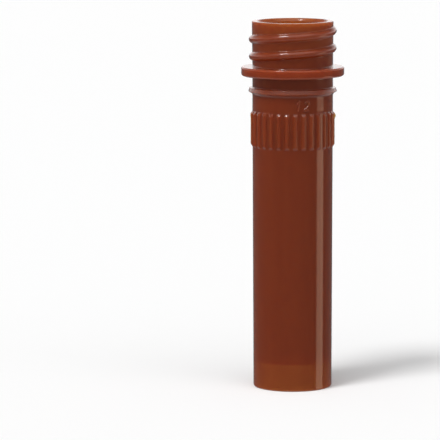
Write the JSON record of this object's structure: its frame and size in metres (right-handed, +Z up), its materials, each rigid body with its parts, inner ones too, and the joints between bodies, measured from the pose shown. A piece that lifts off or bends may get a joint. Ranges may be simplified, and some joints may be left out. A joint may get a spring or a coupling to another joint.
{
  "type": "cryovial",
  "caption": "Open self-standing sample tube with a round-bead screw neck, a flange, a retaining bead, rack ribs and a conical floor above an open skirt.",
  "frame": {"origin": "centre of the foot of the skirt, on the surface that the tube stands on", "axes": "+Z up along the tube's axis towards the open rim; +X and -X lie by the mould's parting line"},
  "size_m": [0.0126, 0.0126, 0.045],
  "materials": {
    "polypropylene": "glossy translucent amber-brown moulded polypropylene"
  },
  "bodies": {
    "root": {"tube": "polypropylene"}
  },
  "joints": []
}
